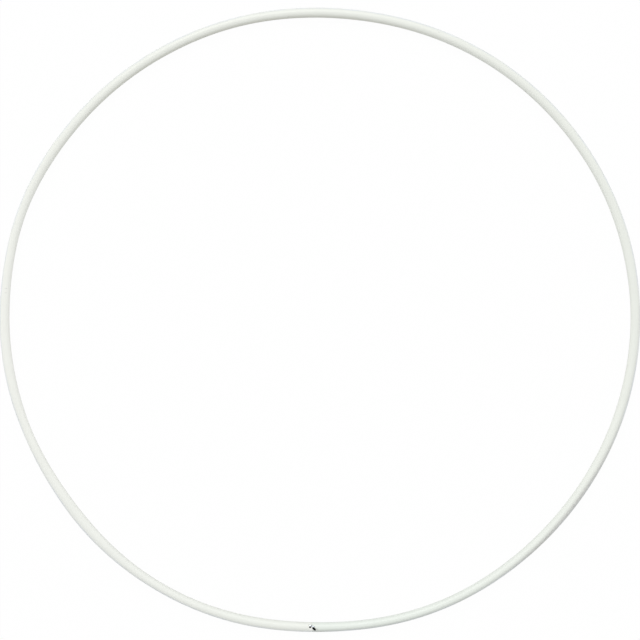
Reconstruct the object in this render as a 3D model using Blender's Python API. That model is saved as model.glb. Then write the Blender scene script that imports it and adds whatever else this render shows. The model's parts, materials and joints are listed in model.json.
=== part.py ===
"""Rhythmic gymnastics hoop, lying flat on the floor.

One plastic tube is bent into a ring. Its two ends butt over a stiff inner plug, and a flat-wire
steel staple, driven slantwise across the seam, pins both ends to the plug: one leg in each end.
Metres, +Z up. The origin is on the floor, under the middle of the ring's outline.
"""
import math

import bmesh
import bpy
from mathutils import Matrix, Vector

MM = 0.001
UP = Vector((0.0, 0.0, 1.0))
FULL_TURN = 2 * math.pi

# Tube
OUTER_DIAMETER = 900 * MM                 # over the tube, mean of the slightly oval ring
TUBE_DIAMETER = 14 * MM
WALL = 2.2 * MM
TUBE_RADIUS = TUBE_DIAMETER / 2
BORE_RADIUS = TUBE_RADIUS - WALL
MEAN_RADIUS = OUTER_DIAMETER / 2 - TUBE_RADIUS

# Shape of the ring: waves round it, as (crests, share of the mean radius, turn of a crest).
# Turns are measured from +X towards +Y.
RING_WAVES = (
    (2, 0.0112, math.radians(-2)),        # wider than it is tall
    (3, 0.0039, math.radians(25)),        # three-cornered set left by coiling
    (4, 0.0012, math.radians(-15)),       # and a fainter four-cornered one
)
SEAM_TURN = math.radians(268.6)           # where the two ends meet
FLAT_DEPTH = 3.3 * MM                     # the plug holds the tube straighter at the seam
FLAT_SPREAD = math.radians(17)

# Joint
SEAM_GAP = 0.3 * MM
PLUG_GAP = 0.3 * MM                       # between plug and bore
PLUG_LENGTH = 70 * MM
PLUG_CHAMFER = 1.2 * MM
PLUG_RADIUS = BORE_RADIUS - PLUG_GAP

# Staple: a narrow-crown one, and how it sits on the tube
CROWN_LENGTH = 8.8 * MM                   # over the legs
WIRE_WIDTH = 1.25 * MM
WIRE_THICKNESS = 1.0 * MM
WIRE_BEND = 0.8 * MM                      # radius of the wire's middle at the corners
LEG_LENGTH = 8 * MM                       # below the crown
STAPLE_SLANT = math.radians(17)           # crown against the tube's length
STAPLE_ROLL = math.radians(-21.5)         # from the top of the tube towards the ring's outside
STAPLE_SHIFT = -0.5 * MM                  # crown's middle from the seam, along the tube
STAPLE_SINK = 0.15 * MM                   # crown below the tube's surface, so it can't catch a hand
STAPLE_GAP = 0.3 * MM                     # room round the wire in tube and plug
GROOVE_TOP = 1 * MM                       # the crown's groove is cut from this far above the wire

# Facets
TUBE_SIDES = 16
RING_STEPS = 93                           # outside the joint; odd, so that one lies opposite the seam
JOINT_STEPS = 8                           # finer, on each side of the seam
JOINT_REACH = math.radians(7.5)
PLUG_STEPS = 10
CROWN_STEPS = 4                           # on each half of the wire
CORNER_STEPS = 3
OUTLINE_STEPS = 720
SHARP_ANGLE = math.radians(30)


def clear_scene():
    for item in list(bpy.data.objects):
        bpy.data.objects.remove(item, do_unlink=True)


def finish(name, colour, roughness, metallic=0.0):
    """Plain material of a sub-part."""
    material = bpy.data.materials.new(name)
    material.use_nodes = True
    shader = material.node_tree.nodes["Principled BSDF"]
    shader.inputs["Base Color"].default_value = (*colour, 1.0)
    shader.inputs["Roughness"].default_value = roughness
    shader.inputs["Metallic"].default_value = metallic
    return material


# ---- the ring's line ----

def ring_radius(turn):
    """Distance from the ring's centre to the tube's centreline."""
    waves = sum(share * math.cos(crests * (turn - crest)) for crests, share, crest in RING_WAVES)
    from_seam = math.remainder(turn - SEAM_TURN, FULL_TURN) / FLAT_SPREAD
    flat = FLAT_DEPTH * (1 - from_seam**2) * math.exp(-from_seam**2 / 2)
    return MEAN_RADIUS * (1 + waves) - flat


def ring_point(turn):
    radius = ring_radius(turn)
    return Vector((radius * math.cos(turn), radius * math.sin(turn), TUBE_RADIUS))


def ring_frame(turn):
    """Point on the centreline, the direction along the tube, and the direction out of the ring."""
    nudge = 1e-3
    along = (ring_point(turn + nudge) - ring_point(turn - nudge)).normalized()
    return ring_point(turn), along, along.cross(UP)


def tube_turns():
    """Turns of the tube's cross-sections, from one end at the seam round to the other."""
    start = SEAM_GAP / 2 / MEAN_RADIUS
    near = [start + (JOINT_REACH - start) * i / JOINT_STEPS for i in range(JOINT_STEPS)]
    far = [JOINT_REACH + (FULL_TURN - 2 * JOINT_REACH) * i / RING_STEPS for i in range(RING_STEPS + 1)]
    last = [FULL_TURN - turn for turn in reversed(near)]
    return [SEAM_TURN + turn for turn in near + far + last]


def outline_middle():
    """Middle of the box round the ring's outline, seen from above."""
    rim = []
    for step in range(OUTLINE_STEPS):
        point, _, outward = ring_frame(FULL_TURN * step / OUTLINE_STEPS)
        rim.append(point + outward * TUBE_RADIUS)
    middle = [(min(p[axis] for p in rim) + max(p[axis] for p in rim)) / 2 for axis in range(2)]
    return Vector((*middle, 0.0))


# ---- meshes ----

def section(bm, turn, apothem):
    """Loop of points round the tube, flat at its top and bottom."""
    point, _, outward = ring_frame(turn)
    corner = apothem / math.cos(math.pi / TUBE_SIDES)
    angles = [FULL_TURN * (side + 0.5) / TUBE_SIDES for side in range(TUBE_SIDES)]
    return [bm.verts.new(point + corner * (outward * math.cos(a) + UP * math.sin(a))) for a in angles]


def skin(bm, first, second):
    """Band of faces between two loops of the same count."""
    count = len(first)
    for i in range(count):
        j = (i + 1) % count
        bm.faces.new((first[i], first[j], second[j], second[i]))


def finished_object(name, bm, parent, material):
    bmesh.ops.recalc_face_normals(bm, faces=bm.faces)
    mesh = bpy.data.meshes.new(name)
    bm.to_mesh(mesh)
    bm.free()
    mesh.shade_smooth()
    mesh.set_sharp_from_angle(angle=SHARP_ANGLE)
    if material:
        mesh.materials.append(material)
    item = bpy.data.objects.new(name, mesh)
    item.parent = parent
    bpy.context.scene.collection.objects.link(item)
    return item


def make_tube(parent):
    """Hollow tube, open at the two ends that face each other across the seam."""
    bm = bmesh.new()
    turns = tube_turns()
    outside = [section(bm, turn, TUBE_RADIUS) for turn in turns]
    bore = [section(bm, turn, BORE_RADIUS) for turn in turns]
    for loops in (outside, bore):
        for first, second in zip(loops, loops[1:]):
            skin(bm, first, second)
    for end in (0, -1):
        skin(bm, outside[end], bore[end])
    return finished_object("hoop_tube", bm, parent, finish("white_plastic", (0.86, 0.88, 0.82), 0.35))


def make_plug(parent):
    """Solid rod that follows the bore, with a lead-in chamfer at each end."""
    bm = bmesh.new()
    half = PLUG_LENGTH / 2 / MEAN_RADIUS
    lead_in = PLUG_CHAMFER / MEAN_RADIUS
    inner = half - lead_in
    body = [-inner + 2 * inner * i / PLUG_STEPS for i in range(PLUG_STEPS + 1)]
    loops = [section(bm, SEAM_TURN - half, PLUG_RADIUS - PLUG_CHAMFER)]
    loops += [section(bm, SEAM_TURN + turn, PLUG_RADIUS) for turn in body]
    loops += [section(bm, SEAM_TURN + half, PLUG_RADIUS - PLUG_CHAMFER)]
    for first, second in zip(loops, loops[1:]):
        skin(bm, first, second)
    bm.faces.new(loops[0])
    bm.faces.new(loops[-1])
    return finished_object("joint_plug", bm, parent, finish("black_plastic", (0.02, 0.02, 0.022), 0.5))


# ---- staple ----

def wire_half(leg):
    """Middle line of half the wire from the crown's centre: (x, z, heading below level) points."""
    crown_bow = TUBE_RADIUS / math.sin(STAPLE_SLANT)**2    # crown follows the tube's surface
    crown_run = CROWN_LENGTH / 2 - WIRE_THICKNESS / 2 - WIRE_BEND
    crown_drop = crown_run / crown_bow
    corner_turn = math.pi / 2 - crown_drop
    stretches = ((CROWN_STEPS, crown_run, crown_drop),
                 (CORNER_STEPS, WIRE_BEND * corner_turn, corner_turn),
                 (1, leg, 0.0))
    x, z, heading = 0.0, -WIRE_THICKNESS / 2, 0.0
    points = [(x, z, heading)]
    for steps, length, bend in stretches:
        for _ in range(steps):
            heading += bend / steps / 2
            x += length / steps * math.cos(heading)
            z -= length / steps * math.sin(heading)
            heading += bend / steps / 2
            points.append((x, z, heading))
    return points


def make_staple(name, parent, gap=0.0, over_crown=0.0, material=None):
    """Bent wire, or with a gap the room it needs. Its origin is on top of its crown's middle."""
    bm = bmesh.new()
    right = wire_half(LEG_LENGTH - WIRE_BEND + gap)
    line = [(-x, z, -heading) for x, z, heading in reversed(right[1:])] + right
    depth = WIRE_THICKNESS / 2 + gap
    side = Vector((0.0, WIRE_WIDTH / 2 + gap, 0.0))
    loops = []
    for x, z, heading in line:
        outward = Vector((math.sin(heading), 0.0, math.cos(heading)))
        outside = Vector((x, 0.0, z)) + outward * (depth + over_crown * math.cos(heading))
        inside = Vector((x, 0.0, z)) - outward * depth
        corners = (outside - side, outside + side, inside + side, inside - side)
        loops.append([bm.verts.new(corner) for corner in corners])
    for first, second in zip(loops, loops[1:]):
        skin(bm, first, second)
    bm.faces.new(loops[0])
    bm.faces.new(loops[-1])
    item = finished_object(name, bm, parent, material)
    item.matrix_local = staple_place()
    return item


def staple_place():
    """Across the seam, on the tube's surface, legs towards its middle."""
    point, along, outward = ring_frame(SEAM_TURN)
    normal = UP * math.cos(STAPLE_ROLL) + outward * math.sin(STAPLE_ROLL)
    across = outward * math.cos(STAPLE_ROLL) - UP * math.sin(STAPLE_ROLL)
    crown = along * math.cos(STAPLE_SLANT) + across * math.sin(STAPLE_SLANT)
    place = Matrix((crown, normal.cross(crown), normal)).transposed().to_4x4()
    place.translation = point + along * STAPLE_SHIFT + normal * (TUBE_RADIUS - STAPLE_SINK)
    return place


def cut(item, cutter):
    """Take the cutter's shape out of a piece, and mark the sharp edges that this leaves."""
    modifier = item.modifiers.new("cut", "BOOLEAN")
    modifier.operation = "DIFFERENCE"
    modifier.solver = "EXACT"
    modifier.object = cutter
    evaluated = item.evaluated_get(bpy.context.evaluated_depsgraph_get())
    item.data = bpy.data.meshes.new_from_object(evaluated)
    item.modifiers.remove(modifier)
    item.data.set_sharp_from_angle(angle=SHARP_ANGLE)


def main():
    clear_scene()
    ring = bpy.data.objects.new("ring_centre", None)
    ring.location = -outline_middle()
    bpy.context.scene.collection.objects.link(ring)

    tube = make_tube(ring)
    plug = make_plug(ring)
    make_staple("staple", ring, material=finish("galvanised_steel", (0.55, 0.57, 0.60), 0.35, metallic=1.0))

    room = make_staple("staple_room", ring, gap=STAPLE_GAP, over_crown=GROOVE_TOP)
    room.hide_render = True
    room.display_type = "WIRE"
    cut(tube, room)
    cut(plug, room)


main()
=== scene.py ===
import json
import math
from collections import Counter

import bmesh
import bpy
from mathutils import Matrix, Vector, noise

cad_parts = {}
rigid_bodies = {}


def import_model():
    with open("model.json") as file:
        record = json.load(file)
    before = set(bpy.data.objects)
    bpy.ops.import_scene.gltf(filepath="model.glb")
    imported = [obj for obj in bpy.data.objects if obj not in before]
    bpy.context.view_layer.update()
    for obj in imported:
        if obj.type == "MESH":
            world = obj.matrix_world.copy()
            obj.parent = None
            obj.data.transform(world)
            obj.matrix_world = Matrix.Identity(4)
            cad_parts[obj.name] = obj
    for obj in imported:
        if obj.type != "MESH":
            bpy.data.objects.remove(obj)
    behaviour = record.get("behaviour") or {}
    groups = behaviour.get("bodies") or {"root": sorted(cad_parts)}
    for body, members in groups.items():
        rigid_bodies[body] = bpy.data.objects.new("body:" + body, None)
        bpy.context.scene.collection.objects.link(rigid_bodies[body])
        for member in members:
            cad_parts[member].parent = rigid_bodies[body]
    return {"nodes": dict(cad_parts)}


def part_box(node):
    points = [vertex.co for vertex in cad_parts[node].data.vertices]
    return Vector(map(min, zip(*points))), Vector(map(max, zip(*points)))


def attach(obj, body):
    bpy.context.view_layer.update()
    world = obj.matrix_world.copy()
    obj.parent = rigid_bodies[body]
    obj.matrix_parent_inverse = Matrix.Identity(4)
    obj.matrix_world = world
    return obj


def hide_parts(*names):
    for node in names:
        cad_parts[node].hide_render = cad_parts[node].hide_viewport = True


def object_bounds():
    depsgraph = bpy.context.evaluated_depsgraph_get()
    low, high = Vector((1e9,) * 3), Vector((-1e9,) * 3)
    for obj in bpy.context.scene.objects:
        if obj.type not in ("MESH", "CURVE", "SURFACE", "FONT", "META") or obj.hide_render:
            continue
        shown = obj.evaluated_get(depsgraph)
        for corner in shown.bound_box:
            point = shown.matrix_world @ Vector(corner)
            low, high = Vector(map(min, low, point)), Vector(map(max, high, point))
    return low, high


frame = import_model()
cadLow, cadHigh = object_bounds()
print("frame loaded:", sorted(frame["nodes"]))

mm = 0.001
up = Vector((0.0, 0.0, 1.0))
fullTurn = 2 * math.pi


# A number on its way through a node tree, so that formulas can be written as usual.
class Flow:
    def __init__(self, socket):
        self.socket = socket

    def then(self, operation, *others):
        return maths(self.socket.id_data, operation, self, *others)

    def __add__(self, other):
        return self.then("ADD", other)

    def __sub__(self, other):
        return self.then("SUBTRACT", other)

    def __mul__(self, other):
        return self.then("MULTIPLY", other)

    def __truediv__(self, other):
        return self.then("DIVIDE", other)

    def __rsub__(self, other):
        return maths(self.socket.id_data, "SUBTRACT", other, self)


# Adds a node, sets its options and fills its inputs: a socket is linked, anything else is written.
def addNode(tree, kind, inputs=(), **options):
    made = tree.nodes.new(kind)
    for name, value in options.items():
        setattr(made, name, value)
    for key, value in (inputs.items() if isinstance(inputs, dict) else enumerate(inputs)):
        value = getattr(value, "socket", value)
        if isinstance(value, bpy.types.NodeSocket):
            tree.links.new(value, made.inputs[key])
        elif value is not None:
            made.inputs[key].default_value = value
    return made


def maths(tree, operation, *values):
    return Flow(addNode(tree, "ShaderNodeMath", values, operation=operation).outputs[0])


def vectors(tree, operation, *values):
    made = addNode(tree, "ShaderNodeVectorMath", values, operation=operation)
    return Flow(made.outputs["Value"]) if operation == "LENGTH" else made.outputs["Vector"]


def combine(tree, x, y, z):
    return addNode(tree, "ShaderNodeCombineXYZ", (x, y, z)).outputs[0]


def separate(tree, vector):
    return [Flow(socket) for socket in addNode(tree, "ShaderNodeSeparateXYZ", (vector,)).outputs]


socketKinds = {
    type(None): "NodeSocketGeometry",
    bpy.types.Material: "NodeSocketMaterial",
    int: "NodeSocketInt",
    float: "NodeSocketFloat",
    Vector: "NodeSocketVector",
}


# Starts a Geometry Nodes tree with named inputs at the given values. None stands for geometry.
def newTree(name, inputs, outputs):
    tree = bpy.data.node_groups.new(name, "GeometryNodeTree")
    for direction, sockets in (("INPUT", inputs), ("OUTPUT", outputs)):
        for socketName, value in sockets.items():
            kind = socketKinds[type(value)]
            socket = tree.interface.new_socket(socketName, in_out=direction, socket_type=kind)
            if value is not None and direction == "INPUT":
                socket.default_value = value
    given = {socket.name: Flow(socket) for socket in tree.nodes.new("NodeGroupInput").outputs if socket.name}
    return tree, given, tree.nodes.new("NodeGroupOutput").inputs


# Starts a tree that a piece goes through, with its sizes and its material as inputs.
def newPieceTree(name, sizes, material):
    return newTree(name, {"Geometry": None, **sizes, "Material": material}, {"Geometry": None})


# Ends a tree: the piece leaves it realized and with its material on.
def closeTree(tree, geometry, material, result):
    solid = addNode(tree, "GeometryNodeRealizeInstances", {"Geometry": geometry}).outputs[0]
    painted = addNode(tree, "GeometryNodeSetMaterial", {"Geometry": solid, "Material": material}).outputs[0]
    tree.links.new(painted, result["Geometry"])


# Puts a tree on an object, with its inputs set through their identifiers.
def addTree(item, tree, values):
    modifier = item.modifiers.new(tree.name, "NODES")
    modifier.node_group = tree
    for socket in tree.interface.items_tree:
        if socket.item_type == "SOCKET" and socket.in_out == "INPUT" and socket.name in values:
            modifier[socket.identifier] = values[socket.name]


def newObject(name, data=None):
    item = bpy.data.objects.new(name, data or bpy.data.meshes.new(name))
    bpy.context.scene.collection.objects.link(item)
    return item


# Turns an object with live modifiers into a plain mesh.
def settle(item):
    evaluated = item.evaluated_get(bpy.context.evaluated_depsgraph_get())
    mesh = bpy.data.meshes.new_from_object(evaluated)
    if item.type == "MESH":
        item.modifiers.clear()
        item.data = mesh
        return item
    made = newObject(item.name + "Mesh", mesh)
    bpy.data.objects.remove(item)
    return made


# The line that the tube follows: its waves and its flat come from a fit to the real ring's outline,
# rounded. Turns run from +X towards +Y, and shares are of the mean radius.
ringLine = {
    "Mean radius": 443 * mm,
    "Oval share": 0.0112,
    "Oval turn": math.radians(-2),
    "Three-corner share": 0.0039,          # set left by coiling
    "Three-corner turn": math.radians(25),
    "Four-corner share": 0.0012,
    "Four-corner turn": math.radians(-15),
    "Seam turn": math.radians(268.6),
    "Flat depth": 3.3 * mm,                # the plug holds the tube straighter at the seam
    "Flat spread": math.radians(17),
    "Tube radius": 7 * mm,
}
ringWaves = (("Oval", 2), ("Three-corner", 3), ("Four-corner", 4))

# Small bends and pinched places: turn and spread in degrees, then mm. Nearly all of the amounts are what
# a least-squares fit to the real ring's outline gave, rounded to 0.1 mm. They weren't chosen by hand.
sways = (
    {"turn": 57, "spread": 9, "outwards": 0.5},
    {"turn": 83, "spread": 8, "outwards": -0.9},
    {"turn": 108, "spread": 8, "outwards": 0.9},
    {"turn": 140, "spread": 8, "outwards": -0.7},
    {"turn": 159, "spread": 6, "outwards": 1.1},
    {"turn": 174, "spread": 6, "outwards": -0.5},
    {"turn": 192, "spread": 8, "outwards": 0.4},
    {"turn": 212, "spread": 6, "outwards": -0.7},
    {"turn": 229, "spread": 7, "outwards": 0.6},
    {"turn": 258, "spread": 6, "outwards": 0.4},
)
pinches = (
    {"turn": 1, "spread": 5, "wider": -0.7},
    {"turn": 24, "spread": 5, "wider": -0.5},
    {"turn": 106, "spread": 8, "wider": -0.6},
    {"turn": 164, "spread": 8, "wider": -1.4},
    {"turn": 202, "spread": 5, "wider": -1.4},
    {"turn": 220, "spread": 7, "wider": 1.7},
    {"turn": 242, "spread": 8, "wider": -1.1},
    {"turn": 276, "spread": 5, "wider": -0.5},
    {"turn": 293, "spread": 13, "wider": -1.1},
)


# The ring's radius at a turn, without its small bends.
def plainRadius(turn):
    size = 1.0
    for name, crests in ringWaves:
        size += ringLine[name + " share"] * math.cos(crests * (turn - ringLine[name + " turn"]))
    fromSeam = ((turn - ringLine["Seam turn"] + math.pi) % fullTurn - math.pi) / ringLine["Flat spread"]
    flat = ringLine["Flat depth"] * (1.0 - fromSeam**2) * math.exp(-fromSeam**2 / 2)
    return ringLine["Mean radius"] * size - flat


# The tube is made straight, and its length is bent round the ring at the radius that the seam has,
# so sizes stay true at the joint.
seamRadius = plainRadius(ringLine["Seam turn"])
tubeRadius = ringLine["Tube radius"]
tubeLength = fullTurn * seamRadius
bendSizes = {"Seam radius": seamRadius, **ringLine}


# Adds up soft humps round the ring: each is its own amount at its turn and dies out over its spread.
def humps(turn, places, amount):
    total = 0.0
    for place in places:
        away = (turn - math.radians(place["turn"])).then("WRAP", math.pi, -math.pi)
        away = away / math.radians(place["spread"])
        total = (away * away * -0.5).then("EXPONENT") * (place[amount] * mm) + total
    return total


# Node group: a point of the ring's line at a turn.
def makeRingPoint():
    tree, given, result = newTree("ringPoint", {"Turn": 0.0, **ringLine}, {"Point": up})
    turn = given["Turn"]
    size = 1.0
    for name, crests in ringWaves:
        wave = ((turn - given[name + " turn"]) * float(crests)).then("COSINE")
        size = wave * given[name + " share"] + size
    fromSeam = (turn - given["Seam turn"]).then("WRAP", math.pi, -math.pi) / given["Flat spread"]
    squared = fromSeam * fromSeam
    flat = given["Flat depth"] * (1.0 - squared) * (squared * -0.5).then("EXPONENT")
    radius = size * given["Mean radius"] - flat + humps(turn, sways, "outwards")
    point = combine(tree, radius * turn.then("COSINE"), radius * turn.then("SINE"), given["Tube radius"])
    tree.links.new(point, result["Point"])
    return tree


# Tree: bends a piece made along +X round the ring, its +Y outwards, and keeps where each point was.
def makeBendTree():
    tree, given, result = newPieceTree("bendToRing", bendSizes, plastic)
    ringPoint = makeRingPoint()
    start = addNode(tree, "GeometryNodeInputPosition").outputs[0]
    along, outward, height = separate(tree, start)
    turn = along / given["Seam radius"] + given["Seam turn"]
    nudge = 0.001                          # the line's direction comes from a point ahead and one behind
    points = []
    for offset in (0.0, nudge, -nudge):
        group = addNode(tree, "GeometryNodeGroup", node_tree=ringPoint)
        for name, value in {**given, "Turn": turn + offset}.items():
            if name in group.inputs:
                tree.links.new(value.socket, group.inputs[name])
        points.append(group.outputs["Point"])
    ahead = vectors(tree, "NORMALIZE", vectors(tree, "SUBTRACT", points[1], points[2]))
    outside = vectors(tree, "CROSS_PRODUCT", ahead, up)
    outward = outward * (humps(turn, pinches, "wider") / (given["Tube radius"] * 2.0) + 1.0)
    sideways = vectors(tree, "MULTIPLY", outside, combine(tree, outward, outward, outward))
    place = vectors(tree, "ADD", vectors(tree, "ADD", points[0], sideways), combine(tree, 0.0, 0.0, height))
    kept = addNode(tree, "GeometryNodeStoreNamedAttribute",
                   {"Geometry": given["Geometry"], "Name": "tubeSpace", "Value": start},
                   data_type="FLOAT_VECTOR", domain="POINT").outputs[0]
    bent = addNode(tree, "GeometryNodeSetPosition", {"Geometry": kept, "Position": place}).outputs[0]
    flipped = addNode(tree, "GeometryNodeFlipFaces", {"Mesh": bent}).outputs[0]      # bending mirrors it
    closeTree(tree, flipped, given["Material"], result)
    return tree


def newMaterial(name, **fixed):
    material = bpy.data.materials.new(name)
    material.use_nodes = True
    shader = material.node_tree.nodes["Principled BSDF"]
    for socketName, value in fixed.items():
        shader.inputs[socketName].default_value = value
    return material, material.node_tree, shader


# Clouded value round 0.5, drawn out where it has a stretch.
def cloud(tree, where, scale, detail, stretch=(1.0, 1.0, 1.0)):
    scaled = vectors(tree, "MULTIPLY", where, stretch)
    made = addNode(tree, "ShaderNodeTexNoise", {"Vector": scaled, "Scale": scale, "Detail": detail})
    return Flow(made.outputs[0])


# Goes smoothly from 0 to 1 as the value goes from one level to the other.
def rise(tree, value, start, end):
    made = addNode(tree, "ShaderNodeMapRange", (value, start, end), interpolation_type="SMOOTHSTEP")
    return Flow(made.outputs[0])


# Adds up flows, each times its own share.
def weigh(shares, **flows):
    total = 0.0
    for name, flow in flows.items():
        total = flow * shares[name] + total
    return total


def mixColours(tree, share, first, second, blend="MIX"):
    made = addNode(tree, "ShaderNodeMix", data_type="RGBA", blend_type=blend)
    for socket, value in ((made.inputs[0], share), (made.inputs[6], first), (made.inputs[7], second)):
        value = getattr(value, "socket", value)
        if isinstance(value, bpy.types.NodeSocket):
            tree.links.new(value, socket)
        else:
            socket.default_value = value if isinstance(value, float) else (*value, 1.0)
    return made.outputs[2]


# Ends a material: its colour, roughness and relief go into its shader.
def finishMaterial(tree, shader, colour, roughness, relief, height, strength=1.0):
    bump = addNode(tree, "ShaderNodeBump", {"Strength": strength, "Distance": height, "Height": relief})
    for name, value in (("Base Color", colour), ("Roughness", roughness.socket), ("Normal", bump.outputs[0])):
        tree.links.new(value, shader.inputs[name])


# Where a point was before its piece was bent round the ring.
def straightSpace(tree):
    made = addNode(tree, "ShaderNodeAttribute", attribute_type="GEOMETRY", attribute_name="tubeSpace")
    return made.outputs["Vector"]


# Soft round patch in the straight tube's space, 1 at its middle and 0 from its edge on.
def patch(tree, where, middle, size):
    core = 0.35                            # share of its size where it is full
    reach = vectors(tree, "LENGTH", vectors(tree, "DIVIDE", vectors(tree, "SUBTRACT", where, middle), size))
    return rise(tree, reach, 1.0, core)


# White plastic of the tube, lightly glossy, drawn through a die and then handled, with painted shade on its
# rims and in its cuts. Each pair of levels runs from no mark to the full mark. Sides are shares of the tube's
# radius, outwards, and starts and ends are shares of the way round from the seam.
whitePlastic = {
    "colours": (                           # share of the way from the seam, then colour
        (0.00, (0.835, 0.885, 0.828)),
        (0.22, (0.865, 0.890, 0.832)),
        (0.60, (0.865, 0.885, 0.828)),
        (0.76, (0.915, 0.928, 0.875)),
        (0.90, (0.890, 0.908, 0.858)),
        (1.00, (0.872, 0.895, 0.840)),
    ),
    "darkTone": (0.035, 0.034, 0.032),        # painted shade, near black, inside cuts and dents
    "shadeDepth": (0.15 * mm, 0.9 * mm),
    "scuffAndShade": (0.58, 0.58, 0.56),
    "lightened": (0.98, 0.985, 0.96),
    "mostLightened": 0.9,
    "outerShade": 0.20,                          # painted shade: the outer side is greyer for the first stretch from the seam
    "outerShadeSide": (0.0, 0.9),
    "outerShadeEnd": (0.27, 0.18),
    "outerTint": 0.8,                         # a bluish tint of the outer side, in patches
    "outerTintColour": (0.81, 0.86, 0.90),
    "outerTintSide": (0.45, 0.95),
    "outerTintPatches": (0.25, 0.65),
    "innerShade": 0.6,                           # painted shade on the inner rim of the top arc, which faces away from the lamp
    "innerShadeTint": (0.70, 0.71, 0.63),
    "innerShadeSide": (-0.48, -0.90),
    "innerShadeStart": (0.42, 0.50),
    "innerShadeEnd": (0.70, 0.60),
    "mottling": 0.05,
    "streaks": 0.05,
    "patchy": (0.38, 0.62),                # scuffs and painted shade are broken up into weaker and stronger places
    "patchyStrength": (0.45, 1.35),
    "scratches": 0.12,
    "scratchLevels": (0.64, 0.70),
    "scratchPatches": (0.42, 0.60),
    "scratchRun": (90.0, 240.0),           # scratches are long this way, along and around the tube
    "scratchPitch": (-620.0, 1500.0),      # and close together this way
    "scratchSlice": 3.0,
    "clouds": {                            # scale, detail and, where it is drawn out, stretch
        "mottling": (24.0, 4.0),
        "drawn": (1.0, 3.0, (7.0, 620.0, 620.0)),
        "fineDrawn": (1.0, 2.0, (40.0, 2600.0, 2600.0)),
        "skin": (850.0, 2.0),
        "patches": (30.0, 2.0),
        "patchiness": (1.0, 4.0, (260.0, 900.0, 900.0)),
        "scratches": (1.0, 3.0),
    },
    "roughness": 0.38,
    "roughened": {"drawn": 0.10, "fineDrawn": 0.08, "marked": 0.6, "sunk": 0.2},
    "relief": {"drawn": 0.5, "fineDrawn": 0.3, "skin": 0.2, "scratches": -0.5},
    "reliefHeight": 0.015 * mm,
    "reliefStrength": 0.8,
}

# Small marks of use, and patches of painted shade: where they are round the ring and out from the tube's
# middle, in degrees and mm.
scuffsAndShade = (
    {"turn": 67.4, "side": 2.2, "length": 2.6, "width": 1.6, "strength": 0.30},
    {"turn": 16.3, "side": -5.6, "length": 3.2, "width": 1.4, "strength": 0.45},
    {"turn": 95.9, "side": -5.4, "length": 3.0, "width": 1.6, "strength": 0.40},
    {"turn": 232.1, "side": 4.4, "length": 3.4, "width": 1.6, "strength": 0.35},
    {"turn": 174.3, "side": -1.6, "length": 0.9, "width": 3.4, "strength": 0.35},
    {"turn": 175.1, "side": -1.4, "length": 0.9, "width": 3.0, "strength": 0.30},
    # The last three are painted shade: on the outer rim next to the seam, beside the larger torn hole, and
    # along the outer side that faces away from the lamp.
    {"turn": 269.7, "side": 6.2, "length": 8.0, "width": 2.6, "strength": 0.65},
    {"turn": 269.4, "side": 2.6, "length": 3.4, "width": 2.8, "strength": 0.6},
    {"turn": 322.0, "side": 5.0, "length": 160.0, "width": 7.5, "strength": 0.6},
)

# Lighter patches of plastic beside the torn holes, from the seam and out from the tube's top, in mm.
lightened = (
    {"along": -1.3, "side": 2.2, "length": 3.4, "width": 3.4, "strength": 0.9},
    {"along": 0.3, "side": 2.4, "length": 2.2, "width": 2.2, "strength": 0.8},
    {"along": -3.0, "side": -1.2, "length": 3.0, "width": 3.0, "strength": 0.5},
    {"along": 2.6, "side": -1.4, "length": 2.4, "width": 2.4, "strength": 0.6},
)


# Colour that changes along the tube: each stop is blended softly into the next.
def blendAlong(tree, share, stops):
    colour = stops[0][1]
    for (start, _), (end, nextColour) in zip(stops, stops[1:]):
        colour = mixColours(tree, rise(tree, share, start, end), colour, nextColour)
    return colour


# Point on top of the straight tube: so far along it from the seam, and so far outwards.
def onSkin(along, side):
    return Vector((along % tubeLength, side, math.sqrt(tubeRadius**2 - side**2)))


# A mark's turn becomes a length from the seam.
def scuffAndShadePlace(scuffAndShade):
    lag = math.radians(scuffAndShade["turn"]) - ringLine["Seam turn"]
    return onSkin(lag * seamRadius, scuffAndShade["side"] * mm)


def lightenedPlace(spot):
    return onSkin(spot["along"] * mm, spot["side"] * mm)


# Adds up the patches of some marks, each as strong as it says.
def addPatches(tree, where, marks, place):
    total = 0.0
    for mark in marks:
        size = Vector((mark["length"], mark["width"], mark["width"])) * mm
        total = patch(tree, where, place(mark), size) * mark["strength"] + total
    return total


# Fine slanting scratches, more in some places than in others.
def makeScratches(tree, look, along, around, mottling):
    run, pitch = (along * look[name][0] + around * look[name][1] for name in ("scratchRun", "scratchPitch"))
    slanting = combine(tree, run, pitch, look["scratchSlice"])
    lines = rise(tree, cloud(tree, slanting, *look["clouds"]["scratches"]), *look["scratchLevels"])
    return lines * rise(tree, mottling, *look["scratchPatches"])


# The plastic's colour, mottled and streaked, with painted shade that makes the outer side greyer next to the
# seam.
def colourWithOuterShade(tree, look, fromStart, side, mottling, drawn):
    colour = blendAlong(tree, fromStart, look["colours"])
    # Painted shade on the outer side for the first stretch from the seam.
    outerShade = rise(tree, side, *look["outerShadeSide"]) * rise(tree, fromStart, *look["outerShadeEnd"])
    shade = (mottling - 0.5) * look["mottling"] + (drawn - 0.5) * look["streaks"] + 1.0 - outerShade * look["outerShade"]
    return mixColours(tree, 1.0, colour, combine(tree, shade, shade, shade), "MULTIPLY")


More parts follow.
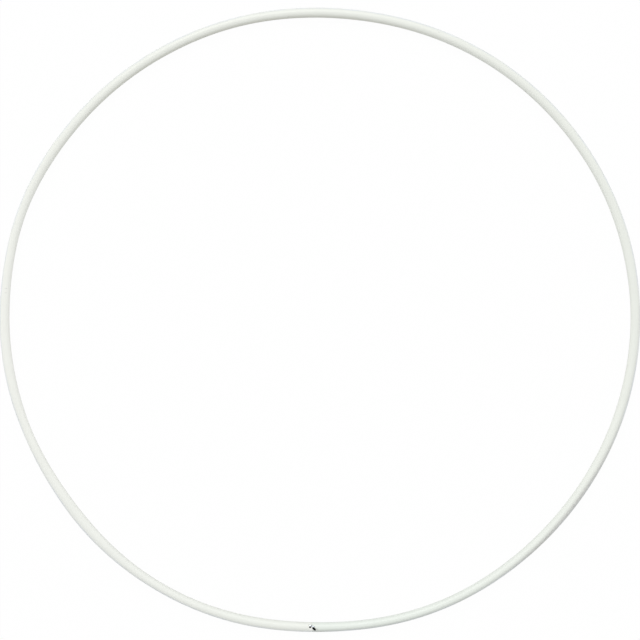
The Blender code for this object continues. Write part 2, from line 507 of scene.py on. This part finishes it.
# Tints the outer side bluish in patches, and paints shade on the inner rim of the top arc, which faces away
# from the lamp.
def tintSides(tree, look, where, fromStart, side, colour):
    patches = rise(tree, cloud(tree, where, *look["clouds"]["patches"]), *look["outerTintPatches"])
    outerTint = rise(tree, side, *look["outerTintSide"]) * patches
    colour = mixColours(tree, outerTint * look["outerTint"], colour, look["outerTintColour"])
    # Painted shade on the inner rim of the top arc.
    innerShade = rise(tree, side, *look["innerShadeSide"])
    innerShade = innerShade * rise(tree, fromStart, *look["innerShadeStart"]) * rise(tree, fromStart, *look["innerShadeEnd"])
    return mixColours(tree, innerShade * look["innerShade"], colour, look["innerShadeTint"])


def makePlastic():
    look = whitePlastic
    material, tree, shader = newMaterial("whitePlastic", IOR=1.49)
    where = straightSpace(tree)
    along, outward, height = separate(tree, where)
    fromStart = along / tubeLength
    side = outward / tubeRadius
    mottling, drawn, fineDrawn, skin, patchiness = (cloud(tree, where, *look["clouds"][name]) for name in
                                              ("mottling", "drawn", "fineDrawn", "skin", "patchiness"))

    colour = colourWithOuterShade(tree, look, fromStart, side, mottling, drawn)
    colour = tintSides(tree, look, where, fromStart, side, colour)
    white = addPatches(tree, where, lightened, lightenedPlace).then("MINIMUM", look["mostLightened"])
    colour = mixColours(tree, white, colour, look["lightened"])

    # Scuffs and scratches, with the painted shade that the scuff list holds.
    least, most = look["patchyStrength"]
    patchy = rise(tree, patchiness, *look["patchy"]) * (most - least) + least
    scratches = makeScratches(tree, look, along, outward.then("ARCTAN2", height) * tubeRadius, mottling)
    marked = addPatches(tree, where, scuffsAndShade, scuffAndShadePlace) * patchy + scratches * look["scratches"]
    colour = mixColours(tree, marked, colour, look["scuffAndShade"])

    # Painted shade: the plastic goes near black as the skin sinks into cuts and dents.
    shallow, deep = look["shadeDepth"]
    fromAxis = vectors(tree, "LENGTH", combine(tree, 0.0, outward, height))
    sunk = rise(tree, fromAxis, tubeRadius - shallow, tubeRadius - deep)
    colour = mixColours(tree, sunk, colour, look["darkTone"])

    lines = {"drawn": drawn - 0.5, "fineDrawn": fineDrawn - 0.5}
    roughness = weigh(look["roughened"], marked=marked, sunk=sunk, **lines) + look["roughness"]
    relief = weigh(look["relief"], drawn=drawn, fineDrawn=fineDrawn, skin=skin, scratches=scratches)
    finishMaterial(tree, shader, colour, roughness, relief, look["reliefHeight"], look["reliefStrength"])
    return material


plastic = makePlastic()
bendTree = makeBendTree()


def bend(item, material):
    addTree(item, bendTree, {**bendSizes, "Material": material})
    settle(item)


# The tube before it is bent, with one wall out and back: rings outside, then rings in the bore.
tube = {
    "Length": tubeLength,
    "Outside radius": tubeRadius,
    "Bore radius": 4.8 * mm,
    "Outside rings": 420,
    "Bore rings": 120,
    "Sides": 72,
    "Crowding": 0.85,                      # 0 spaces the rings evenly, 1 crowds them to the ends
    "Slit": 0.10 * mm,                     # between the two ends
    "Seam weld": 0.01 * mm,                # points this close are one
}
rimRounding = 0.15 * mm


def makeTubeTree():
    tree, given, result = newPieceTree("straightTube", tube, plastic)
    rings = given["Outside rings"] + given["Bore rings"]
    counts = {"Vertices X": rings + 1.0, "Vertices Y": given["Sides"] + 1.0}
    grid = addNode(tree, "GeometryNodeMeshGrid", {"Size X": 1.0, "Size Y": 1.0, **counts})
    gridX, gridY, _ = separate(tree, addNode(tree, "GeometryNodeInputPosition").outputs[0])
    ring = ((gridX + 0.5) * rings).then("ROUND").then("MODULO", rings)
    outside = ring.then("LESS_THAN", given["Outside rings"] - 0.5)
    onOutside = ring / (given["Outside rings"] - 1.0)
    onBore = 1.0 - (ring - given["Outside rings"]) / (given["Bore rings"] - 1.0)
    share = onBore + outside * (onOutside - onBore)
    crowded = share - given["Crowding"] * (share * fullTurn).then("SINE") / fullTurn
    along = crowded * (given["Length"] - given["Slit"]) + given["Slit"] * 0.5
    radius = given["Bore radius"] + outside * (given["Outside radius"] - given["Bore radius"])
    angle = gridY * -fullTurn
    place = combine(tree, along, radius * angle.then("COSINE"), radius * angle.then("SINE"))
    shaped = addNode(tree, "GeometryNodeSetPosition", {"Geometry": grid.outputs[0], "Position": place})
    weld = {"Geometry": shaped.outputs[0], "Distance": given["Seam weld"]}
    closed = addNode(tree, "GeometryNodeMergeByDistance", weld).outputs[0]
    closeTree(tree, closed, given["Material"], result)
    return tree


# The staple, and the room that it takes: a bent wire whose origin is on top of its crown's middle.
staple = {
    "crownLength": 8.8 * mm,               # over the legs
    "wireWidth": 1.25 * mm,
    "wireThickness": 1.0 * mm,
    "wireBend": 0.8 * mm,                  # of the wire's middle, at the corners
    "wireEdge": 0.16 * mm,                 # rounding along the wire
    "legLength": 8 * mm,
    "slant": math.radians(17),             # crown against the tube's length
    "roll": math.radians(-21.5),           # from the top of the tube towards the ring's outside
    "shift": -0.5 * mm,                    # crown's middle from the seam
    "sink": 0.15 * mm,
    "gap": 0.10 * mm,                      # room round the wire
    "roomAbove": 2 * mm,
    "roomSquareness": 6.0,
}


# Where the staple sits: columns are the crown, its side and the way out of the tube.
def stapleFrame():
    roll = staple["roll"]
    slant = staple["slant"]
    outOfTube = Vector((0.0, math.sin(roll), math.cos(roll)))
    across = Vector((0.0, math.cos(roll), -math.sin(roll)))
    crown = Vector((1.0, 0.0, 0.0)) * math.cos(slant) + across * math.sin(slant)
    place = Matrix((crown, outOfTube.cross(crown), outOfTube)).transposed().to_4x4()
    place.translation = outOfTube * (tubeRadius - staple["sink"]) + Vector((staple["shift"], 0.0, 0.0))
    return place


staplePlace = stapleFrame()


# Middle line of the wire, as (along the crown, height) points from one leg's end to the other's.
def wireLine():
    bow = tubeRadius / math.sin(staple["slant"])**2    # the crown follows the tube's round
    crownRun = staple["crownLength"] / 2 - staple["wireThickness"] / 2 - staple["wireBend"]
    cornerTurn = math.pi / 2 - crownRun / bow
    crown = (8, crownRun, crownRun / bow)  # points, length and turn of each stretch
    corner = (10, staple["wireBend"] * cornerTurn, cornerTurn)
    leg = (6, staple["legLength"] - staple["wireBend"], 0.0)
    x = 0.0
    z = -staple["wireThickness"] / 2
    heading = 0.0
    half = [(x, z)]
    for count, length, change in (crown, corner, leg):
        for _ in range(count):
            heading += change / count / 2
            x += length / count * math.cos(heading)
            z -= length / count * math.sin(heading)
            heading += change / count / 2
            half.append((x, z))
    return [(-x, z) for x, z in reversed(half[1:])] + half


wireSizes = {
    "Wire width": staple["wireWidth"],
    "Wire thickness": staple["wireThickness"],
    "Wire edge": staple["wireEdge"],
    "Edge points": 4,
}


# Tree: flat wire with rounded edges along a curve that lies in its own XY plane.
def makeWireTree(material):
    tree, given, result = newPieceTree("flatWire", wireSizes, material)
    level = addNode(tree, "GeometryNodeSetCurveNormal", {"Curve": given["Geometry"]}, mode="Z_UP").outputs[0]
    outline = addNode(tree, "GeometryNodeCurvePrimitiveQuadrilateral",
                      {"Width": given["Wire thickness"], "Height": given["Wire width"]}).outputs[0]
    rounded = addNode(tree, "GeometryNodeFilletCurve",
                      {"Curve": outline, "Count": given["Edge points"], "Radius": given["Wire edge"]},
                      mode="POLY").outputs[0]
    swept = addNode(tree, "GeometryNodeCurveToMesh",
                    {"Curve": level, "Profile Curve": rounded, "Fill Caps": True}).outputs[0]
    closeTree(tree, swept, given["Material"], result)
    return tree


# What driving the staple did to the tube: holes torn beside its legs, and plastic pushed down round
# them, in mm and degrees. Middles are along the tube from the seam and outwards from its top line.
joint = {
    "holes": (
        {"middle": (-2.8, -0.6), "length": 3.3, "width": 2.8, "turn": 94, "narrowing": 0.1, "depth": 3.8},
        {"middle": (2.9, 1.75), "length": 7.0, "width": 3.5, "turn": 47, "narrowing": 0.05, "depth": 4.6},
        {"middle": (-1.3, -1.5), "length": 3.4, "width": 0.8, "turn": 126, "narrowing": 0.0, "depth": 2.8},
        {"middle": (-0.2, -2.6), "length": 5.0, "width": 0.6, "turn": 88, "narrowing": 0.0, "depth": 2.6},
    ),
    "dents": (
        {"middle": (-3.1, -0.9), "length": 4.8, "width": 4.4, "turn": 94, "depth": 0.45},
        {"middle": (3.8, 1.8), "length": 7.4, "width": 5.0, "turn": 46, "depth": 0.6},
    ),
    "steepness": 1.3,                      # of a dent's sides
    "lip": 0.22,                           # plastic raised round a dent, as a share of its depth
    "lipPlace": 1.35,                      # in dents' half sizes from the middle
    "lipSteepness": 3.5,
    "lipUnevenness": 0.7,
    "skin": 0.2 * mm,                      # how deep the skin goes
    "reach": 7.5 * mm,                     # the skin is finer this far from the seam,
    "lowest": 0.55 * tubeRadius,           # down to this height over the tube's middle
    "cuts": 7,                             # new points on each edge there
    "squareness": 2.2,
    "raggedness": 0.25,                    # of a hole's outline
    "ragSize": 1.7,
    "holesAbove": 1 * mm,
    "taper": 0.8,                          # a hole's floor against its mouth
}


# Rounded outline, as points round a middle: squareness 2 is an ellipse, and more squares its corners.
def outlinePoints(middle, length, width, turn, squareness, raggedness=0.0, narrowing=0.0, count=36):
    points = []
    for i in range(count):
        angle = fullTurn * i / count
        x = math.copysign(abs(math.cos(angle)) ** (2 / squareness), math.cos(angle)) * length / 2
        y = math.copysign(abs(math.sin(angle)) ** (2 / squareness), math.sin(angle)) * width / 2
        y *= 1.0 - narrowing * x / (length / 2)
        spot = Vector((math.cos(angle), math.sin(angle), length / mm)) * joint["ragSize"]
        torn = 1.0 + raggedness * noise.noise(spot)
        x *= torn
        y *= torn
        points.append((middle[0] + x * math.cos(turn) - y * math.sin(turn),
                       middle[1] + x * math.sin(turn) + y * math.cos(turn)))
    return points


# Solid between two levels over an outline, its floor drawn in by the taper.
def addPrism(name, outline, low, high, place=Matrix(), taper=1.0):
    middle = [sum(point[axis] for point in outline) / len(outline) for axis in range(2)]
    bm = bmesh.new()
    loops = []
    for level, size in ((low, taper), (high, 1.0)):
        points = [[mid + (at - mid) * size for mid, at in zip(middle, point)] for point in outline]
        loops.append([bm.verts.new((*point, level)) for point in points])
    for i, corner in enumerate(loops[0]):
        j = (i + 1) % len(outline)
        bm.faces.new((corner, loops[0][j], loops[1][j], loops[1][i]))
    bm.faces.new(reversed(loops[0]))
    bm.faces.new(loops[1])
    bmesh.ops.recalc_face_normals(bm, faces=bm.faces)
    bm.transform(place)
    item = newObject(name)
    bm.to_mesh(item.data)
    bm.free()
    return item


# Everything that is cut out of the tube: room for the staple, and the torn holes.
def makeCutters():
    gap = staple["gap"]
    width = staple["wireWidth"] + 2 * gap
    thickness = staple["wireThickness"] + 2 * gap
    length = staple["crownLength"] + 2 * gap
    legAt = (staple["crownLength"] - staple["wireThickness"]) / 2
    squareness = staple["roomSquareness"]
    crown = outlinePoints((0, 0), length, width, 0.0, squareness)
    made = [addPrism("crownRoom", crown, -thickness, staple["roomAbove"], staplePlace)]
    for side in (-1, 1):
        leg = outlinePoints((side * legAt, 0), thickness, width, 0.0, squareness)
        made.append(addPrism("legRoom", leg, -staple["legLength"] - gap, 0.0, staplePlace))
    for hole in joint["holes"]:
        middle = [value * mm for value in hole["middle"]]
        mouth = outlinePoints(middle, hole["length"] * mm, hole["width"] * mm, math.radians(hole["turn"]),
                              joint["squareness"], joint["raggedness"], hole["narrowing"])
        low = math.sqrt(tubeRadius**2 - middle[1]**2) - hole["depth"] * mm
        made.append(addPrism("tornHole", mouth, low, tubeRadius + joint["holesAbove"], taper=joint["taper"]))
    return made


# How far the skin is pushed in at a point, seen from above.
def dentDepth(x, y):
    depth = 0.0
    for dent in joint["dents"]:
        turn = math.radians(dent["turn"])
        dx = x / mm - dent["middle"][0]
        dy = y / mm - dent["middle"][1]
        u = (dx * math.cos(turn) + dy * math.sin(turn)) / (dent["length"] / 2)
        v = (dy * math.cos(turn) - dx * math.sin(turn)) / (dent["width"] / 2)
        away = math.hypot(u, v)
        unevenness = joint["lipUnevenness"] * noise.noise(Vector((dx, dy, dent["length"])))
        lip = joint["lip"] * (1.0 + unevenness)
        pushed = math.exp(-(away * joint["steepness"])**2)
        raised = lip * math.exp(-((away - joint["lipPlace"]) * joint["lipSteepness"])**2)
        depth += dent["depth"] * mm * (pushed - raised)
    return depth


# Refines the skin round the staple and presses the dents into it, at both ends of the straight tube.
def pressDents(mesh):
    bm = bmesh.new()
    bm.from_mesh(mesh)

    def fromSeam(point):
        return point.x if point.x < tubeLength / 2 else point.x - tubeLength

    def nearStaple(point):
        outside = math.hypot(point.y, point.z) > tubeRadius - joint["skin"]
        return outside and abs(fromSeam(point)) < joint["reach"] and point.z > joint["lowest"]

    edges = [edge for edge in bm.edges if all(nearStaple(v.co) for v in edge.verts)]
    bmesh.ops.subdivide_edges(bm, edges=edges, cuts=joint["cuts"], use_grid_fill=True)
    sagging = 0.02 * mm                    # new points sag less than this between the tube's sides
    shallowest = 0.001 * mm
    for v in bm.verts:
        reach = math.hypot(v.co.y, v.co.z)
        if reach < tubeRadius - joint["skin"] or v.co.z < 0:
            continue
        if tubeRadius - sagging < reach < tubeRadius:
            v.co.yz = v.co.yz * (tubeRadius / reach)
        depth = dentDepth(fromSeam(v.co), v.co.y)
        if abs(depth) > shallowest:
            v.co.yz = v.co.yz * (1 - depth / reach)
    bmesh.ops.triangulate(bm, faces=[face for face in bm.faces if any(nearStaple(v.co) for v in face.verts)])
    bm.to_mesh(mesh)
    bm.free()


# Clears what a cut leaves behind: slivers, points that lie on each other, faces that lie on each other
# or hang on an edge of the closed skin, and the small gaps that their loss leaves.
def clearCut(mesh):
    sliver = 0.005 * mm
    touching = 0.001 * mm
    gapSides = 12
    rounds = 4
    bm = bmesh.new()
    bm.from_mesh(mesh)
    bmesh.ops.triangulate(bm, faces=bm.faces)
    bmesh.ops.dissolve_degenerate(bm, dist=sliver, edges=bm.edges)
    bmesh.ops.remove_doubles(bm, verts=bm.verts, dist=touching)
    for _ in range(rounds):
        bmesh.ops.triangulate(bm, faces=bm.faces)
        twins = Counter(frozenset(face.verts) for face in bm.faces)
        loose = []
        for face in bm.faces:
            neighbours = [len(edge.link_faces) for edge in face.edges]
            hanging = min(neighbours) == 1 and max(neighbours) > 2
            if hanging or twins[frozenset(face.verts)] > 1:
                loose.append(face)
        bmesh.ops.delete(bm, geom=loose, context="FACES")
        openEdges = [edge for edge in bm.edges if edge.is_boundary]
        bmesh.ops.holes_fill(bm, edges=openEdges, sides=gapSides)
    bmesh.ops.recalc_face_normals(bm, faces=bm.faces)
    bm.to_mesh(mesh)
    bm.free()


# Cuts everything in the list out of a piece, at each of the places along it.
def cutOut(item, cutters, places):
    tools = bpy.data.collections.new("cutters")
    for cutter in cutters:
        for along in places:
            copy = cutter.copy()
            copy.location.x = along
            tools.objects.link(copy)
    bpy.context.scene.collection.children.link(tools)
    modifier = item.modifiers.new("cut", "BOOLEAN")
    modifier.operation = "DIFFERENCE"
    modifier.solver = "EXACT"
    modifier.operand_type = "COLLECTION"
    modifier.collection = tools
    settle(item)
    for copy in list(tools.objects):
        bpy.data.objects.remove(copy)
    bpy.data.collections.remove(tools)
    clearCut(item.data)


# Rounds a piece's sharp rims, when it is settled.
def roundRims(item, width):
    rims = item.modifiers.new("rims", "BEVEL")
    rims.width = width
    rims.segments = 3
    rims.angle_limit = math.radians(60)


def smoothOver(mesh):
    mesh.shade_smooth()
    mesh.set_sharp_from_angle(angle=math.radians(40))


cutters = makeCutters()

hoopTube = newObject("hoopTube")
addTree(hoopTube, makeTubeTree(), {**tube, "Material": plastic})
roundRims(hoopTube, rimRounding)
settle(hoopTube)
pressDents(hoopTube.data)
cutOut(hoopTube, cutters, (0.0, tubeLength))
bend(hoopTube, plastic)
smoothOver(hoopTube.data)
print("tube:", len(hoopTube.data.polygons), "faces")


# Galvanised steel wire: a little blue, drawn lengthwise and dull in spots.
galvanised = {
    "colour": (0.56, 0.60, 0.66),
    "dull": (0.30, 0.31, 0.34),
    "dullness": 0.6,
    "dullLevels": (0.46, 0.66),
    "darkTone": (0.10, 0.10, 0.11),           # darker where the wire crosses the seam
    "seamDarkness": 0.85,
    "seamBandMiddle": -0.6 * mm,
    "seamBandReach": (1.0 * mm, 0.4 * mm),
    "seamBandRaggedness": 1.2 * mm,
    "clouds": {
        "spots": (2200.0, 4.0),
        "brushed": (1.0, 2.0, (900.0, 9000.0, 900.0)),
    },
    "roughness": 0.34,
    "roughened": {"brushed": 0.25, "dull": 0.15, "grimy": 0.3},
    "relief": {"brushed": 0.6, "spots": 0.4},
    "reliefHeight": 0.01 * mm,
}


def makeSteel():
    look = galvanised
    material, tree, shader = newMaterial("galvanisedSteel", Metallic=1.0)
    where = addNode(tree, "ShaderNodeTexCoord").outputs["Object"]
    spots = cloud(tree, where, *look["clouds"]["spots"])
    brushed = cloud(tree, where, *look["clouds"]["brushed"])
    dull = rise(tree, spots, *look["dullLevels"])
    colour = mixColours(tree, dull * look["dullness"], look["colour"], look["dull"])
    along = separate(tree, straightSpace(tree))[0]
    # The wire is darker in a ragged band where it crosses the seam.
    ragged = (spots - 0.5) * look["seamBandRaggedness"]
    grimy = rise(tree, (along - look["seamBandMiddle"] + ragged).then("ABSOLUTE"), *look["seamBandReach"])
    colour = mixColours(tree, grimy * look["seamDarkness"], colour, look["darkTone"])
    roughness = weigh(look["roughened"], brushed=brushed - 0.5, dull=dull, grimy=grimy) + look["roughness"]
    relief = weigh(look["relief"], brushed=brushed, spots=spots)
    finishMaterial(tree, shader, colour, roughness, relief, look["reliefHeight"])
    return material


steel = makeSteel()


def makeStaple():
    line = bpy.data.curves.new("wireLine", "CURVE")
    line.dimensions = "3D"
    points = wireLine()
    spline = line.splines.new("POLY")
    spline.points.add(len(points) - 1)
    for point, (x, z) in zip(spline.points, points):
        point.co = (x, z, 0.0, 1.0)
    wire = newObject("stapleLine", line)
    addTree(wire, makeWireTree(steel), {**wireSizes, "Material": steel})
    wire = settle(wire)
    wire.name = "flatWireStaple"
    onEdge = Matrix.Rotation(math.pi / 2, 4, "X")      # the wire's drawing plane stands upright
    wire.data.transform(staplePlace @ onEdge)
    bend(wire, steel)
    smoothOver(wire.data)
    return wire


stapleWire = makeStaple()
print("staple:", len(stapleWire.data.polygons), "faces")


# Plug inside the joint: a moulded black rod that follows the bore. Its colour is near black so that it also
# stands in for the shade deep in the torn holes, where the plug shows.
plug = {
    "Length": 70 * mm,
    "Radius": 4.5 * mm,
    "Sides": 64,
    "Rings": 36,
}
plugChamfer = 1.2 * mm
blackPlastic = {
    # near black: a black plug, and painted shade deep in the torn holes
    "colour": (0.010, 0.010, 0.012),
    "dusty": (0.022, 0.022, 0.022),
    "dustLevels": (0.52, 0.75),
    "clouds": {
        "grain": (3500.0, 3.0),
        "dust": (260.0, 4.0),
    },
    "roughness": 0.6,
    "roughened": {"grain": 0.3},
    "reliefHeight": 0.02 * mm,
}


def makeBlackPlastic():
    look = blackPlastic
    material, tree, shader = newMaterial("blackPlastic", IOR=1.35)
    where = straightSpace(tree)
    grain = cloud(tree, where, *look["clouds"]["grain"])
    dusty = rise(tree, cloud(tree, where, *look["clouds"]["dust"]), *look["dustLevels"])
    colour = mixColours(tree, dusty, look["colour"], look["dusty"])
    roughness = weigh(look["roughened"], grain=grain - 0.5) + look["roughness"]
    finishMaterial(tree, shader, colour, roughness, grain, look["reliefHeight"])
    return material


black = makeBlackPlastic()


def makePlugTree():
    tree, given, result = newPieceTree("straightPlug", plug, black)
    sizes = {"Vertices": given["Sides"], "Side Segments": given["Rings"], "Radius": given["Radius"],
             "Depth": given["Length"]}
    rod = addNode(tree, "GeometryNodeMeshCylinder", sizes).outputs[0]
    lyingDown = (0.0, math.pi / 2, 0.0)
    lying = addNode(tree, "GeometryNodeTransform", {"Geometry": rod, "Rotation": lyingDown}).outputs[0]
    closeTree(tree, lying, given["Material"], result)
    return tree


jointPlug = newObject("jointPlug")
addTree(jointPlug, makePlugTree(), {**plug, "Material": black})
roundRims(jointPlug, plugChamfer)
settle(jointPlug)
cutOut(jointPlug, cutters, (0.0,))
bend(jointPlug, black)
smoothOver(jointPlug.data)
print("plug:", len(jointPlug.data.polygons), "faces")

for cutter in cutters:
    bpy.data.objects.remove(cutter)


# The ring is drawn round its own middle, and the frame stands over its outline's middle.
def ringShift():
    frameLow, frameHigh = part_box("hoop_tube")
    count = 1440
    turns = [fullTurn * i / count for i in range(count)]
    shift = []
    for axis, share in enumerate((math.cos, math.sin)):
        line = [plainRadius(turn) * share(turn) for turn in turns]
        shift.append((frameLow[axis] + frameHigh[axis] - min(line) - max(line)) / 2)
    return Matrix.Translation((*shift, 0.0))


shift = ringShift()
for item in (hoopTube, stapleWire, jointPlug):
    item.data.transform(shift)

for item, node, slot in ((hoopTube, "hoop_tube", "tube_plastic"), (jointPlug, "joint_plug", "plug_plastic"),
                         (stapleWire, "staple", "staple_steel")):
    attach(item, "root")
    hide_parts(node)


# Room: a pale floor, a white surround and one large soft lamp high on the +Y side.
room = {
    "floorSize": 12.0,
    "floorColour": (0.74, 0.74, 0.74),
    "floorWhite": 1.01,                    # the white that the floor shows
    "shadowKept": 0.04,                    # share of the floor's own shading that shows
    "floorInGloss": 0.0,                   # how much of that white gloss sees
    "surround": 0.72,
    "sideGlow": 0.8,                       # the surround is this much brighter to the sides than ahead
    "lampPower": 780.0,
    "lampSize": 11.0,
    "lampDistance": 15.0,
    "lampTurn": math.radians(103),         # from +X towards +Y
    "lampHeight": math.radians(46),        # above the floor
}


# How much of a surface shows as plain white: to the camera and through glass, and in gloss if asked.
def whiteShare(tree, amount, inGloss):
    path = addNode(tree, "ShaderNodeLightPath").outputs
    seen = maths(tree, "MAXIMUM", path["Is Camera Ray"], path["Is Transmission Ray"])
    return maths(tree, "MAXIMUM", seen, Flow(path["Is Glossy Ray"]) * inGloss) * amount


def makeFloor():
    material = bpy.data.materials.new("paleFloor")
    material.use_nodes = True
    tree = material.node_tree
    tree.nodes.clear()
    matt = addNode(tree, "ShaderNodeBsdfDiffuse", {"Color": (*room["floorColour"], 1.0)}).outputs[0]
    white = addNode(tree, "ShaderNodeEmission", {"Strength": room["floorWhite"]}).outputs[0]
    share = whiteShare(tree, 1.0 - room["shadowKept"], room["floorInGloss"])
    mixed = addNode(tree, "ShaderNodeMixShader", (share, matt, white)).outputs[0]
    addNode(tree, "ShaderNodeOutputMaterial", {"Surface": mixed})
    bm = bmesh.new()
    bmesh.ops.create_grid(bm, x_segments=4, y_segments=4, size=room["floorSize"] / 2)
    floor = newObject("floor")
    bm.to_mesh(floor.data)
    bm.free()
    floor.data.materials.append(material)
    floor.location.z = cadLow.z


def lightRoom():
    world = bpy.data.worlds.new("studio")
    bpy.context.scene.world = world
    world.use_nodes = True
    tree = world.node_tree
    background = tree.nodes["Background"]
    background.inputs["Color"].default_value = (1.0, 1.0, 1.0, 1.0)
    sideways, ahead, _ = separate(tree, addNode(tree, "ShaderNodeTexCoord").outputs["Generated"])
    glow = (sideways * sideways - ahead * ahead) * room["sideGlow"] + 1.0
    strength = glow * room["surround"]
    strength = strength + whiteShare(tree, 1.0, 1.0) * (1.0 - strength)
    tree.links.new(strength.socket, background.inputs["Strength"])
    lamp = bpy.data.lights.new("softLamp", "AREA")
    lamp.shape = "DISK"
    lamp.size = room["lampSize"]
    lamp.energy = room["lampPower"]
    lampObject = newObject("softLamp", lamp)
    across = Vector((math.cos(room["lampTurn"]), math.sin(room["lampTurn"]), 0.0))
    towards = across * math.cos(room["lampHeight"]) + up * math.sin(room["lampHeight"])
    lampObject.location = towards * room["lampDistance"]
    lampObject.rotation_euler = towards.to_track_quat("Z", "Y").to_euler()


view = {
    "lens": 100.0,
    "sensorWidth": 36.0,
    "widthSeen": 909.3 * mm,               # at the height of the ring's middle
    "aside": (0.2 * mm, -0.5 * mm, 0.0),   # from straight above the ring's middle
}


def placeCamera():
    lens = bpy.data.cameras.new("camera")
    lens.lens = view["lens"]
    lens.sensor_width = view["sensorWidth"]
    camera = newObject("camera", lens)
    middle = (cadLow + cadHigh) / 2
    height = view["widthSeen"] * lens.lens / lens.sensor_width
    camera.location = middle + Vector(view["aside"]) + up * height
    bpy.context.scene.camera = camera


makeFloor()
lightRoom()
placeCamera()
bpy.context.scene.view_settings.view_transform = "Standard"
print("room: floor, surround, lamp and camera are in")
